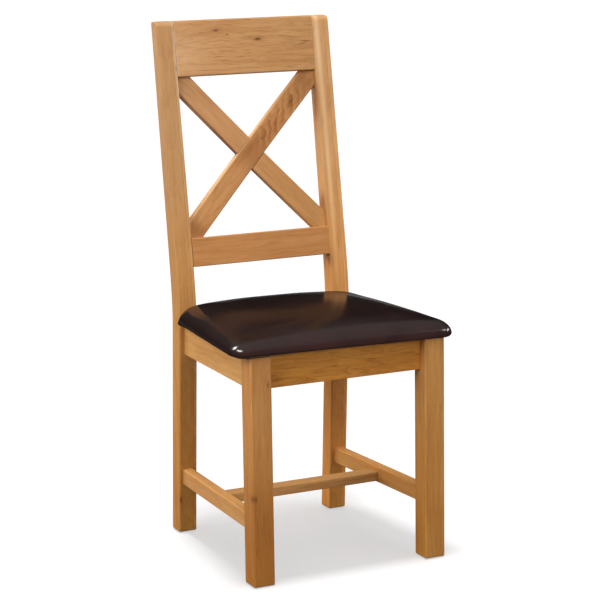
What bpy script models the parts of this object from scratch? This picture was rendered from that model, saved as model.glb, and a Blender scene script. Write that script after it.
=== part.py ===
# Cross back dining chair: an oak frame with raked rear posts and a padded leather seat.
# Metres, +Z up. The chair faces -Y, and its origin is the middle of its bounding box on the floor.
# Depths are measured back from the fronts of the front legs.
import math

import bmesh
import bpy
from mathutils import Matrix, Vector

# Whole chair
total_height = 1.0855
front_width = 0.431
rear_width = 0.400
fit_gap = 0.0003

# Front legs and feet
leg_size = 0.045
leg_edge_round = 0.003
glide_radius = 0.009
glide_thickness = 0.004
glide_stand = 0.002
glide_chamfer = 0.0008

# Rear posts, seen from the side: a lower leg raked back to the floor and a back raked the other way
post_width = 0.040
post_front_at_floor = 0.4144
post_rake_below = 0.066
post_rake_above = 0.153
post_thick_foot = 0.0395
post_thick_bend = 0.0405
post_thick_top = 0.028
bend_height = 0.5035
bend_start_below = 0.045
bend_end_above = 0.100
post_top_round = 0.012
post_edge_round = 0.003

# Seat frame
seat_frame_top = 0.464
seat_rail_height = 0.0685
seat_rail_thick = 0.022
front_rail_setback = 0.021
side_rail_inset = 0.011
rear_rail_setback = 0.002
rear_rail_thick = 0.020
bar_edge_round = 0.002

# Tenons on the frame's bars
tenon_length = 0.016
rear_rail_tenon_length = 0.010
seat_rail_shoulder = 0.006
stretcher_shoulder = 0.005
back_rail_shoulder = 0.0045

# Stretchers
side_stretcher_bottom = 0.109
side_stretcher_height = 0.034
side_stretcher_thick = 0.022
side_stretcher_inset = 0.008
middle_stretcher_front = 0.2175
middle_stretcher_bottom = 0.1125
middle_stretcher_height = 0.020
middle_stretcher_depth = 0.035
middle_tenon_length = 0.010

# Back, measured up the posts' raked fronts from the bend and square to them
back_rail_setback = 0.001
lower_back_rail_start = 0.0765
lower_back_rail_height = 0.0605
lower_back_rail_thick = 0.028
crest_height = 0.115
crest_thick = 0.024
brace_setback = 0.010
brace_width = 0.0465
brace_thick = 0.015
brace_bow = 0.007
brace_edge_round = 0.003
brace_stub_width = 0.014
brace_stub_thick = 0.007
brace_stub_length = 0.012

# Corner blocks and the screws that hold the seat
block_height = 0.040
block_below_top = 0.001
block_leg_clearance = 0.020
block_reach = 0.046
screw_from_rail = 0.011
screw_shank_radius = 0.002
screw_head_radius = 0.0042
screw_head_height = 0.003
screw_tip_clearance = 0.003
screw_hole_clearance = 0.0004

# Seat pad
pad_front_overhang = 0.014
pad_front_side_overhang = 0.024
pad_rear_side_overhang = 0.011
pad_rear_gap = 0.0003
pad_corner_round = 0.026
pad_side_draw_in = 0.003
pad_edge_height = 0.0285
pad_crown = 0.021
pad_crown_at = 0.6
pad_crown_front = 0.25
pad_crown_rear = 0.75
pad_lower_roll = 0.008
pad_upper_roll = 0.020
cover_thick = 0.002
cover_hem = 0.045
board_thick = 0.012
board_edge_inset = 0.0095
foam_gap = 0.0008

# Fineness of the modelling
round_segments = 20
edge_segments = 3
bar_edge_segments = 2
round_profile = 0.5
bend_steps = 6
brace_bend_cuts = 11
corner_steps = 5
straight_steps = 6
roll_steps = 4
crown_rings = 4
weld_distance = 0.00001
sharp_angle = math.radians(40)
flat_angle = math.radians(1)

for old in list(bpy.data.objects):
    bpy.data.objects.remove(old, do_unlink=True)


def post_front(z):
    if z < bend_height:
        return post_front_at_floor - post_rake_below * z
    return post_front_at_floor - post_rake_below * bend_height + post_rake_above * (z - bend_height)


def post_thick(z):
    if z < bend_height:
        return post_thick_foot + (post_thick_bend - post_thick_foot) * z / bend_height
    share = (z - bend_height) / (total_height - bend_height)
    return post_thick_bend + (post_thick_top - post_thick_bend) * share


def drawn_curve(start, pull, end, steps):
    points = []
    for step in range(steps + 1):
        t = step / steps
        points.append(start * (1 - t) ** 2 + pull * 2 * t * (1 - t) + end * t ** 2)
    return points


def post_bend():
    """The soft bend in a post's front, as points of depth and height."""
    heights = (bend_height - bend_start_below, bend_height, bend_height + bend_end_above)
    start, pull, end = [Vector((post_front(z), z)) for z in heights]
    return drawn_curve(start, pull, end, bend_steps)


# Heights and places that follow from the sizes above
depth_middle = (post_front(total_height) + post_thick_top - pad_front_overhang) / 2
seat_rail_middle = seat_frame_top - seat_rail_height / 2
post_inner_x = rear_width / 2 - post_width
back_tilt = math.atan(post_rake_above)
back_length = (total_height - bend_height) / math.cos(back_tilt)
crest_start = back_length - crest_height
opening_bottom = lower_back_rail_start + lower_back_rail_height
pad_bottom = seat_frame_top + fit_gap
board_bottom = pad_bottom + cover_thick + fit_gap
board_top = board_bottom + board_thick
block_top = seat_frame_top - block_below_top
pad_front_half_width = front_width / 2 + pad_front_side_overhang
pad_rear_half_width = rear_width / 2 + pad_rear_side_overhang
pad_front = -pad_front_overhang
pad_rear = min(point.x for point in post_bend()) - pad_rear_gap
pad_middle = Vector((0.0, (pad_front + pad_rear) / 2))
upward = Vector((0, 0, 1))


def world(x, depth, z):
    return Vector((x, depth - depth_middle, z))


parts = bpy.data.collections.new("cross_back_chair")
cutters = bpy.data.collections.new("cutters")
bpy.context.scene.collection.children.link(parts)
bpy.context.scene.collection.children.link(cutters)
chair = bpy.data.objects.new("chair_origin", None)
parts.objects.link(chair)


def make_material(name, color, roughness, metallic=0.0):
    material = bpy.data.materials.new(name)
    material.use_nodes = True
    shader = material.node_tree.nodes["Principled BSDF"]
    shader.inputs["Base Color"].default_value = (*color, 1.0)
    shader.inputs["Roughness"].default_value = roughness
    shader.inputs["Metallic"].default_value = metallic
    return material


oak = make_material("oak", (0.50, 0.25, 0.08), 0.45)
plywood = make_material("plywood", (0.55, 0.38, 0.20), 0.7)
foam = make_material("foam", (0.75, 0.70, 0.50), 0.9)
leather = make_material("leather", (0.022, 0.010, 0.008), 0.32)
steel = make_material("steel", (0.55, 0.55, 0.56), 0.35, 1.0)
plastic = make_material("plastic", (0.03, 0.03, 0.03), 0.5)


def add_part(name, mesh, material, matrix=None):
    part = bpy.data.objects.new(name, mesh)
    part.matrix_world = matrix or Matrix.Identity(4)
    part.parent = chair
    mesh.materials.clear()
    mesh.materials.append(material)
    parts.objects.link(part)
    return part


def add_cutter(name, mesh, matrix):
    cutter = bpy.data.objects.new(name, mesh)
    cutter.matrix_world = matrix
    cutter.hide_render = True
    cutter.display_type = "WIRE"
    cutters.objects.link(cutter)
    return cutter


def combine(part, other, operation):
    step = part.modifiers.new(f"{operation.lower()}_{other.name}", "BOOLEAN")
    step.object = other
    step.operation = operation
    step.solver = "EXACT"


def round_edges(part, width):
    bevel = part.modifiers.new("rounded_edges", "BEVEL")
    bevel.width = width
    bevel.segments = edge_segments
    bevel.limit_method = "ANGLE"
    bevel.angle_limit = sharp_angle


def bevel_edges(shape, edges, width):
    bmesh.ops.bevel(shape, geom=edges, offset=width, segments=bar_edge_segments, profile=round_profile,
                    affect="EDGES")


def runs_along(edge):
    run = edge.verts[1].co - edge.verts[0].co
    return abs(run.x) > abs(run.y) + abs(run.z)


def finish_mesh(name, shape):
    bmesh.ops.recalc_face_normals(shape, faces=shape.faces[:])
    mesh = bpy.data.meshes.new(name)
    shape.to_mesh(mesh)
    shape.free()
    return mesh


def box_mesh(name, length, width, height):
    shape = bmesh.new()
    bmesh.ops.create_cube(shape, size=1.0, matrix=Matrix.Diagonal((length, width, height, 1.0)))
    return finish_mesh(name, shape)


def frame_of(along, up, place):
    along = along.normalized()
    across = up.cross(along).normalized()
    frame = Matrix((along, across, along.cross(across))).transposed().to_4x4()
    frame.translation = place
    return frame


def trim(shape, spot, facing):
    """Cuts away what lies past a plane, closes the cut and returns the new end face."""
    everything = shape.verts[:] + shape.edges[:] + shape.faces[:]
    cut = bmesh.ops.bisect_plane(shape, geom=everything, plane_co=spot, plane_no=facing,
                                 clear_outer=True)
    rim = [item for item in cut["geom_cut"] if isinstance(item, bmesh.types.BMEdge)]
    return bmesh.ops.contextual_create(shape, geom=rim)["faces"][0]


def raise_tenon(shape, face, shoulder, tip_x):
    """Steps in from an end face and draws a tenon out to a square tip."""
    bmesh.ops.inset_region(shape, faces=[face], thickness=shoulder, use_even_offset=True)
    raised = bmesh.ops.extrude_face_region(shape, geom=[face])["geom"]
    bmesh.ops.delete(shape, geom=[face], context="FACES_ONLY")
    for item in raised:
        if isinstance(item, bmesh.types.BMVert):
            item.co.x = tip_x


class Bar:
    """A straight bar trimmed to the two faces that it meets, with a tenon at each end.

    A top, if given, is a plane that the bar is also cut to along its length.
    """

    def __init__(self, name, place, along, up, section, ends, shoulder, tenon, top=None):
        self.frame = frame_of(along, up, place)
        self.thick, self.height = section
        self.shoulder = shoulder
        self.tenon = tenon
        self.end_x = []
        to_bar = self.frame.inverted()
        reach = 2 * max((point - place).length for point, outward in ends)
        shape = bmesh.new()
        sizes = Matrix.Diagonal((reach, self.thick, self.height, 1.0))
        bmesh.ops.create_cube(shape, size=1.0, matrix=sizes)
        self.top = None
        if top:
            self.top = (to_bar @ top[0], to_bar.to_3x3() @ top[1])
            trim(shape, *self.top)
        end_faces = []
        for point, outward in ends:
            spot = to_bar @ (point - outward * fit_gap)
            facing = to_bar.to_3x3() @ outward
            end_faces.append(trim(shape, spot, facing))
            self.end_x.append(spot.dot(facing) / facing.x)
        long_edges = [edge for edge in shape.edges if runs_along(edge)]
        for face, end_x in zip(end_faces, self.end_x):
            raise_tenon(shape, face, shoulder, end_x + math.copysign(tenon, end_x))
        bevel_edges(shape, long_edges, bar_edge_round)
        self.part = add_part(name, finish_mesh(name, shape), oak, self.frame)

    def seat_in(self, neighbour, end):
        """Cuts this bar's mortise in its neighbour."""
        entry = 2 * self.shoulder
        depth = entry + self.tenon + fit_gap
        grow = 2 * fit_gap - 2 * self.shoulder
        name = f"mortise_{self.part.name}_{neighbour.name}"
        shape = bmesh.new()
        sizes = Matrix.Diagonal((depth, self.thick + grow, self.height + grow, 1.0))
        bmesh.ops.create_cube(shape, size=1.0, matrix=sizes)
        if self.top:
            spot, facing = self.top
            trim(shape, spot - facing * (self.shoulder - fit_gap), facing)
        direction = math.copysign(1.0, self.end_x[end])
        middle = self.end_x[end] + direction * (depth / 2 - entry)
        place = self.frame @ Matrix.Translation((middle, 0, 0))
        combine(neighbour, add_cutter(name, finish_mesh(name, shape), place), "DIFFERENCE")


def outline_solid(name, points, thick, matrix, material):
    """A flat outline in its own XY plane, thickened evenly to both sides."""
    curve = bpy.data.curves.new(name, "CURVE")
    curve.dimensions = "2D"
    curve.fill_mode = "BOTH"
    curve.extrude = thick / 2
    spline = curve.splines.new("POLY")
    spline.points.add(len(points) - 1)
    for item, (x, y) in zip(spline.points, points):
        item.co = (x, y, 0.0, 1.0)
    spline.use_cyclic_u = True
    drawn = bpy.data.objects.new(name + "_outline", curve)
    parts.objects.link(drawn)
    depsgraph = bpy.context.evaluated_depsgraph_get()
    mesh = bpy.data.meshes.new_from_object(drawn.evaluated_get(depsgraph))
    bpy.data.objects.remove(drawn, do_unlink=True)
    shape = bmesh.new()
    shape.from_mesh(mesh)
    bpy.data.meshes.remove(mesh)
    bmesh.ops.remove_doubles(shape, verts=shape.verts[:], dist=weld_distance)
    bmesh.ops.dissolve_limit(shape, angle_limit=flat_angle, verts=shape.verts[:], edges=shape.edges[:])
    return add_part(name, finish_mesh(name, shape), material, matrix)


def turned_solid(name, profile, place, material):
    """A profile of radius and height pairs, from the top down, turned round Z."""
    shape = bmesh.new()
    row = [shape.verts.new((radius, 0, z)) for radius, z in profile]
    for upper, lower in zip(row, row[1:]):
        shape.edges.new((upper, lower))
    mesh = bpy.data.meshes.new(name)
    shape.to_mesh(mesh)
    shape.free()
    part = add_part(name, mesh, material, Matrix.Translation(place))
    turn = part.modifiers.new("turned", "SCREW")
    turn.steps = round_segments
    turn.render_steps = round_segments
    turn.use_merge_vertices = True
    turn.merge_threshold = weld_distance
    return part


def drill(part, place, radius, bottom, top):
    name = f"hole_{part.name}"
    shape = bmesh.new()
    bmesh.ops.create_cone(shape, cap_ends=True, segments=round_segments, radius1=radius, radius2=radius,
                          depth=top - bottom)
    middle = Matrix.Translation((place.x, place.y, (top + bottom) / 2))
    combine(part, add_cutter(name, finish_mesh(name, shape), middle), "DIFFERENCE")


def fillet(before, corner, after, radius, steps):
    to_before = (before - corner).normalized()
    to_after = (after - corner).normalized()
    half = to_before.angle(to_after) / 2
    center = corner + (to_before + to_after).normalized() * (radius / math.sin(half))
    first = corner + to_before * (radius / math.tan(half)) - center
    last = corner + to_after * (radius / math.tan(half)) - center
    sweep = math.pi - 2 * half
    points = []
    for step in range(steps + 1):
        t = step / steps
        blend = first * math.sin((1 - t) * sweep) + last * math.sin(t * sweep)
        points.append(center + blend / math.sin(sweep))
    return points


def post_outline():
    bend = post_bend()
    foot = Vector((post_front(glide_stand), glide_stand))
    top = Vector((post_front(total_height), total_height))

    def behind(z):
        return Vector((post_front(z) + post_thick(z), z))

    back_bend = [behind(z) for z in (bend[-1].y, bend_height, bend[0].y)]
    outline = [foot] + bend
    outline += fillet(bend[-1], top, behind(total_height), post_top_round, bend_steps)
    outline.append(behind(total_height))
    outline += drawn_curve(*back_bend, bend_steps)
    outline.append(behind(glide_stand))
    return [(point.x - depth_middle, point.y) for point in outline]


def make_front_leg(name, side):
    height = seat_frame_top - glide_stand
    place = world(side * (front_width - leg_size) / 2, leg_size / 2, glide_stand + height / 2)
    leg = add_part(name, box_mesh(name, leg_size, leg_size, height), oak, Matrix.Translation(place))
    round_edges(leg, leg_edge_round)
    return leg


def make_rear_post(name, side):
    # The outline's X and Y are the chair's Y and Z, and it is thickened along the chair's X.
    turned = Matrix(((0, 0, 1), (1, 0, 0), (0, 1, 0))).to_4x4()
    place = Matrix.Translation((side * (rear_width - post_width) / 2, 0, 0))
    post = outline_solid(name, post_outline(), post_width, place @ turned, oak)
    round_edges(post, post_edge_round)
    return post


def make_glide(leg, x, depth):
    profile = [
        (0.0, glide_thickness),
        (glide_radius, glide_thickness),
        (glide_radius, glide_chamfer),
        (glide_radius - glide_chamfer, 0.0),
        (0.0, 0.0),
    ]
    place = world(x, depth, 0)
    turned_solid(leg.name.replace("leg", "glide").replace("post", "glide"), profile, place, plastic)
    drill(leg, place, glide_radius + fit_gap, -glide_thickness, glide_thickness + fit_gap)


legs = {}
posts = {}
for side_name, side in (("left", -1), ("right", 1)):
    legs[side] = make_front_leg(f"front_leg_{side_name}", side)
    posts[side] = make_rear_post(f"rear_post_{side_name}", side)
    make_glide(legs[side], side * (front_width - leg_size) / 2, leg_size / 2)
    make_glide(posts[side], side * (rear_width - post_width) / 2, post_front(0) + post_thick_foot / 2)

# Faces that the bars meet, each as a point and the direction out of the bar
leg_back = (world(0, leg_size, 0), Vector((0, -1, 0)))
post_face = (world(0, post_front_at_floor, 0), Vector((0, 1, post_rake_below)).normalized())


def between(half_span):
    return [(Vector((side * half_span, 0, 0)), Vector((side, 0, 0))) for side in (-1, 1)]


# Seat rails
across = Vector((1, 0, 0))
seat_rail_section = (seat_rail_thick, seat_rail_height)
front_rail_place = world(0, front_rail_setback + seat_rail_thick / 2, seat_rail_middle)
front_rail = Bar("front_seat_rail", front_rail_place, across, upward, seat_rail_section,
                 between(front_width / 2 - leg_size), seat_rail_shoulder, tenon_length)
rear_rail_depth = post_front(seat_rail_middle) + rear_rail_setback + rear_rail_thick / 2
rear_rail_place = world(0, rear_rail_depth, seat_rail_middle)
rear_rail = Bar("rear_seat_rail", rear_rail_place, across, upward, (rear_rail_thick, seat_rail_height),
                between(post_inner_x), seat_rail_shoulder, rear_rail_tenon_length)
for end, side in enumerate((-1, 1)):
    front_rail.seat_in(legs[side], end)
    rear_rail.seat_in(posts[side], end)


def side_bar(name, side, inset, section, middle, shoulder):
    center = inset + section[0] / 2
    front = world(side * (front_width / 2 - center), leg_size, middle)
    rear = world(side * (rear_width / 2 - center), post_front(middle), middle)
    bar = Bar(name, (front + rear) / 2, rear - front, upward, section, [leg_back, post_face], shoulder,
              tenon_length)
    bar.seat_in(legs[side], 0)
    bar.seat_in(posts[side], 1)
    return bar


side_rails = {}
side_stretchers = {}
stretcher_section = (side_stretcher_thick, side_stretcher_height)
stretcher_middle = side_stretcher_bottom + side_stretcher_height / 2
for side_name, side in (("left", -1), ("right", 1)):
    side_rails[side] = side_bar(f"{side_name}_seat_rail", side, side_rail_inset, seat_rail_section,
                                seat_rail_middle, seat_rail_shoulder)
    side_stretchers[side] = side_bar(f"{side_name}_stretcher", side, side_stretcher_inset,
                                     stretcher_section, stretcher_middle, stretcher_shoulder)


def inner_face(bar, side):
    sideways = bar.frame.to_3x3() @ Vector((0, 1, 0))
    outward = sideways if sideways.x * side > 0 else -sideways
    return bar.frame.translation - outward * (bar.thick / 2), outward


# Middle stretcher, laid flat between the side stretchers
middle_place = world(0, middle_stretcher_front + middle_stretcher_depth / 2,
                     middle_stretcher_bottom + middle_stretcher_height / 2)
middle_ends = [inner_face(side_stretchers[side], side) for side in (-1, 1)]
middle_stretcher = Bar("middle_stretcher", middle_place, across, upward,
                       (middle_stretcher_depth, middle_stretcher_height), middle_ends, stretcher_shoulder,
                       middle_tenon_length)
for end, side in enumerate((-1, 1)):
    middle_stretcher.seat_in(side_stretchers[side].part, end)

# The back's own frame: X across, Y up the raked posts from the bend, Z out of the back to the front
back_frame = Matrix.Translation(world(0, post_front(bend_height), bend_height))
back_frame = back_frame @ Matrix.Rotation(math.pi / 2 - back_tilt, 4, "X")
up_the_back = back_frame.to_3x3() @ Vector((0, 1, 0))


def back_rail(name, start, height, thick, top=None):
    place = back_frame @ Vector((0, start + height / 2, -back_rail_setback - thick / 2))
    rail = Bar(name, place, across, up_the_back, (thick, height), between(post_inner_x),
               back_rail_shoulder, tenon_length, top)
    for end, side in enumerate((-1, 1)):
        rail.seat_in(posts[side], end)
    return rail.part


# The crest is drawn past the tops of the posts and cut level with them.
level_top = (world(0, 0, total_height), upward)
crest_rail = back_rail("crest_rail", crest_start, crest_height + crest_thick, crest_thick, level_top)
lower_back_rail = back_rail("lower_back_rail", lower_back_rail_start, lower_back_rail_height,
                            lower_back_rail_thick)

# Cross braces: bowed bars from corner to corner of the opening, half lapped where they cross
opening_height = crest_start - opening_bottom
opening_middle = (crest_start + opening_bottom) / 2
half_diagonal = math.hypot(post_inner_x, opening_height / 2)
brace_angle = math.atan2(opening_height / 2, post_inner_x)
lap_depth = brace_setback + brace_bow + brace_thick / 2
opening_width = 2 * (post_inner_x - fit_gap)
opening_mesh = box_mesh("back_opening", opening_width, opening_height - 2 * fit_gap, 2 * lap_depth)
opening_place = back_frame @ Matrix.Translation((0, opening_middle, -lap_depth))
back_opening = add_cutter("back_opening", opening_mesh, opening_place)


def brace_frame(slant):
    middle = Matrix.Translation((0, opening_middle, 0))
    return back_frame @ middle @ Matrix.Rotation(slant * brace_angle, 4, "Z")


def bowed_bar(name):
    shape = bmesh.new()
    sizes = Matrix.Diagonal((2 * half_diagonal + brace_width, brace_width, brace_thick, 1.0))
    bmesh.ops.create_cube(shape, size=1.0, matrix=sizes)
    long_edges = [edge for edge in shape.edges if runs_along(edge)]
    bmesh.ops.subdivide_edges(shape, edges=long_edges, cuts=brace_bend_cuts, use_grid_fill=True)
    corner_lines = [edge for edge in shape.edges if runs_along(edge)]
    for vert in shape.verts:
        bow = brace_bow * (1 - (vert.co.x / half_diagonal) ** 2)
        vert.co.z -= brace_setback + brace_thick / 2 + bow
    bevel_edges(shape, corner_lines, brace_edge_round)
    return finish_mesh(name, shape)


def make_brace(name, slant, keeps_front):
    brace = add_part(name, bowed_bar(name), oak, brace_frame(slant))
    combine(brace, back_opening, "INTERSECT")
    lap_mesh = box_mesh(f"lap_{name}", 2 * brace_width, brace_width + 2 * fit_gap, lap_depth)
    lap_side = -1 if keeps_front else 1
    shift = -lap_depth + lap_side * (lap_depth - fit_gap) / 2
    lap_place = brace_frame(-slant) @ Matrix.Translation((0, 0, shift))
    combine(brace, add_cutter(f"lap_{name}", lap_mesh, lap_place), "DIFFERENCE")
    contact = brace_width / 2 / math.sin(brace_angle)
    stub_sizes = Vector((brace_stub_width, 2 * brace_stub_length, brace_stub_thick))
    socket_sizes = stub_sizes + Vector((2 * fit_gap, 2 * fit_gap, 2 * fit_gap))
    depth = brace_setback + brace_thick / 2
    for end, rail, edge in ((1, crest_rail, crest_start), (-1, lower_back_rail, opening_bottom)):
        x = end * slant * (post_inner_x - contact / 2)
        place = back_frame @ Matrix.Translation((x, edge, -depth))
        stub_name = f"stub_{name}_{rail.name}"
        combine(brace, add_cutter(stub_name, box_mesh(stub_name, *stub_sizes), place), "UNION")
        socket_name = f"socket_{name}_{rail.name}"
        combine(rail, add_cutter(socket_name, box_mesh(socket_name, *socket_sizes), place), "DIFFERENCE")


make_brace("cross_brace_rising", 1, True)
make_brace("cross_brace_falling", -1, False)


# Seat pad outline, drawn in a little between its corners
def pad_outline(inset):
    slope = (pad_front_half_width - pad_rear_half_width) / (pad_rear - pad_front)
    side_inset = inset * math.hypot(1.0, slope)

    def half_width(depth):
        return pad_front_half_width - slope * (depth - pad_front) - side_inset

    front = pad_front + inset
    rear = pad_rear - inset
    corners = [Vector((half_width(front), front)), Vector((half_width(rear), rear)),
               Vector((-half_width(rear), rear)), Vector((-half_width(front), front))]
    radius = max(pad_corner_round - inset, pad_lower_roll)
    points = []
    for index, corner in enumerate(corners):
        before = corners[index - 1]
        after = corners[(index + 1) % len(corners)]
        arc = fillet(before, corner, after, radius, corner_steps)
        points += arc
        beyond = corners[(index + 2) % len(corners)]
        next_start = fillet(corner, after, beyond, radius, corner_steps)[0]
        run = next_start - arc[-1]
        inward = Vector((-run.y, run.x)).normalized()
        for step in range(1, straight_steps):
            share = step / straight_steps
            dip = pad_side_draw_in * math.sin(math.pi * share) if index % 2 == 0 else 0.0
            points.append(arc[-1] + run * share + inward * dip)
    return points


def pad_top(point):
    share = (point.y - pad_front) / (pad_rear - pad_front)
    half = pad_front_half_width + (pad_rear_half_width - pad_front_half_width) * share
    across = max(0.0, 1 - (point.x / half) ** 2)
    if share < pad_crown_at:
        lengthwise = 1 - (1 - pad_crown_front) * (1 - share / pad_crown_at) ** 2
    else:
        lengthwise = 1 - (1 - pad_crown_rear) * ((share - pad_crown_at) / (1 - pad_crown_at)) ** 2
    return pad_bottom + pad_edge_height + pad_crown * across * lengthwise


def roll_ring(share, skin=0.0, start_rise=0.0):
    """A ring on the pad's upper roll, a skin's thickness inside its surface.

    The share goes from 0, where the ring is the start rise above the lower roll, to 1 at the top.
    """
    side_height = pad_bottom + pad_lower_roll
    ring = []
    for edge_point, top_point in zip(pad_outline(0.0), pad_outline(pad_upper_roll)):
        first = math.asin(start_rise / (pad_top(top_point) - skin - side_height))
        angle = first + (math.pi / 2 - first) * share
        inset = skin + (pad_upper_roll - skin) * (1 - math.cos(angle))
        place = edge_point.lerp(top_point, inset / pad_upper_roll)
        rise = (pad_top(place) - skin - side_height) * math.sin(angle)
        ring.append(world(place.x, place.y, side_height + rise))
    return ring


def crown_ring(scale, skin):
    ring = []
    for point in pad_outline(pad_upper_roll):
        place = pad_middle.lerp(point, scale)
        ring.append(world(place.x, place.y, pad_top(place) - skin))
    return ring


def loft(rings):
    """Joins closed rings of equal length, each to the next."""
    shape = bmesh.new()
    rows = [[shape.verts.new(point) for point in ring] for ring in rings]
    count = len(rows[0])
    for lower, upper in zip(rows, rows[1:]):
        for index in range(count):
            following = (index + 1) % count
            shape.faces.new((lower[index], lower[following], upper[following], upper[index]))
    return shape, rows


def close_top(shape, row, skin):
    hub = shape.verts.new(world(pad_middle.x, pad_middle.y, pad_top(pad_middle) - skin))
    for index, vert in enumerate(row):
        shape.faces.new((vert, row[(index + 1) % len(row)], hub))


def crown_rings_inside(skin):
    return [crown_ring(1 - step / (crown_rings + 1), skin) for step in range(1, crown_rings + 1)]


def make_cover():
    rings = [[world(point.x, point.y, pad_bottom) for point in pad_outline(cover_hem)]]
    for step in range(roll_steps):
        angle = math.pi / 2 * (1 - step / roll_steps)
        inset = pad_lower_roll * (1 - math.cos(angle))
        z = pad_bottom + pad_lower_roll * (1 - math.sin(angle))
        rings.append([world(point.x, point.y, z) for point in pad_outline(inset)])
    rings += [roll_ring(step / roll_steps) for step in range(roll_steps + 1)]
    rings += crown_rings_inside(0.0)
    shape, rows = loft(rings)
    close_top(shape, rows[-1], 0.0)
    cover = add_part("seat_cover", finish_mesh("seat_cover", shape), leather)
    shell = cover.modifiers.new("leather_thickness", "SOLIDIFY")
    shell.thickness = cover_thick
    shell.offset = -1.0
    shell.use_even_offset = True
    cover.data.shade_smooth()
    return cover


def make_foam():
    skin = cover_thick + foam_gap
    foam_bottom = board_top + fit_gap
    start_rise = foam_bottom - pad_bottom - pad_lower_roll
    rings = [roll_ring(step / roll_steps, skin, start_rise) for step in range(roll_steps + 1)]
    for point in rings[0]:
        point.z = foam_bottom
    rings += crown_rings_inside(skin)
    shape, rows = loft(rings)
    close_top(shape, rows[-1], skin)
    shape.faces.new(reversed(rows[0]))
    block = add_part("seat_foam", finish_mesh("seat_foam", shape), foam)
    block.data.shade_smooth()


seat_cover = make_cover()
make_foam()
board_points = [(point.x, point.y - depth_middle) for point in pad_outline(board_edge_inset)]
board_place = Matrix.Translation((0, 0, board_bottom + board_thick / 2))
seat_board = outline_solid("seat_board", board_points, board_thick, board_place, plywood)


def make_corner_block(name, side_rail, cross_face, leg_corner, side, end):
    """A block across one inner corner of the seat frame, with the screw that holds the seat."""
    point, outward = inner_face(side_rail, side)
    along = side_rail.frame.to_3x3() @ Vector((1, 0, 0))
    corner = point + along * ((cross_face - point.y) / along.y)
    inward = Vector((-side, 0, 0))
    off_rail = -outward * fit_gap
    off_cross = Vector((0, -end * fit_gap, 0))
    away = along * -end
    past_leg = leg_corner - corner
    near = abs(past_leg.x) + abs(past_leg.y) + block_leg_clearance
    far = near + block_reach
    on_cross = [corner + inward * reach + off_cross for reach in (near, far)]
    on_rail = [corner + away * reach + off_rail for reach in (far, near)]
    outline = [(spot.x, spot.y) for spot in on_cross + on_rail]
    block_place = Matrix.Translation((0, 0, block_top - block_height / 2))
    block = outline_solid(name, outline, block_height, block_place, oak)
    screw_place = (on_rail[0] + on_rail[1]) / 2 + inward * screw_from_rail
    block_bottom = block_top - block_height
    tip = board_top - screw_tip_clearance
    head_top = block_bottom - fit_gap
    profile = [
        (0.0, tip),
        (screw_shank_radius, tip - screw_shank_radius),
        (screw_shank_radius, head_top),
        (screw_head_radius, head_top),
        (screw_head_radius, head_top - screw_head_height / 2),
        (screw_shank_radius, head_top - screw_head_height),
        (0.0, head_top - screw_head_height),
    ]
    screw_name = name.replace("corner_block", "seat_screw")
    turned_solid(screw_name, profile, Vector((screw_place.x, screw_place.y, 0)), steel)
    hole = screw_shank_radius + screw_hole_clearance
    drill(block, screw_place, hole, block_bottom - block_height, block_top + block_height)
    drill(seat_board, screw_place, hole, block_top, tip + screw_hole_clearance)
    # The screw goes through the cover's hem too, where the hem reaches in that far.
    drill(seat_cover, screw_place, hole, block_top, board_bottom)


front_cross_face = front_rail_place.y + seat_rail_thick / 2
rear_cross_face = rear_rail_place.y - rear_rail_thick / 2
for side_name, side in (("left", -1), ("right", 1)):
    leg_corner = world(side * (front_width / 2 - leg_size), leg_size, 0)
    post_corner = world(side * post_inner_x, post_front(seat_rail_middle), 0)
    make_corner_block(f"corner_block_front_{side_name}", side_rails[side], front_cross_face, leg_corner,
                      side, -1)
    make_corner_block(f"corner_block_rear_{side_name}", side_rails[side], rear_cross_face, post_corner,
                      side, 1)
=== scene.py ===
import math
import random
from functools import partialmethod

import bmesh
import bpy
from mathutils import Euler, Matrix, Vector


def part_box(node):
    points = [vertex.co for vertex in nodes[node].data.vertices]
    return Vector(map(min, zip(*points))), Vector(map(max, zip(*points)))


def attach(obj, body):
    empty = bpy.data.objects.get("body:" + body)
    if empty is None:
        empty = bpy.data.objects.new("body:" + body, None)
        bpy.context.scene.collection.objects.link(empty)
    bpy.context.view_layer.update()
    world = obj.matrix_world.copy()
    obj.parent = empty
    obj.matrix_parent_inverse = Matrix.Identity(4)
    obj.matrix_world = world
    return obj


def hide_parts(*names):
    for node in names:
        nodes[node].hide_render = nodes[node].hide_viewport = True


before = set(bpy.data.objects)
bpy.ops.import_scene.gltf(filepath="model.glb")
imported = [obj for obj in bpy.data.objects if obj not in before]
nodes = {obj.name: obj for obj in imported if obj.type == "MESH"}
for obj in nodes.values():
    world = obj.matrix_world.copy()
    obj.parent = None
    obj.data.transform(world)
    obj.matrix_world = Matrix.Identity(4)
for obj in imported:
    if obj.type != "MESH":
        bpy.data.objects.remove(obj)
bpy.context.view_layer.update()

scene = bpy.context.scene
scene.view_settings.view_transform = "Standard"


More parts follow.
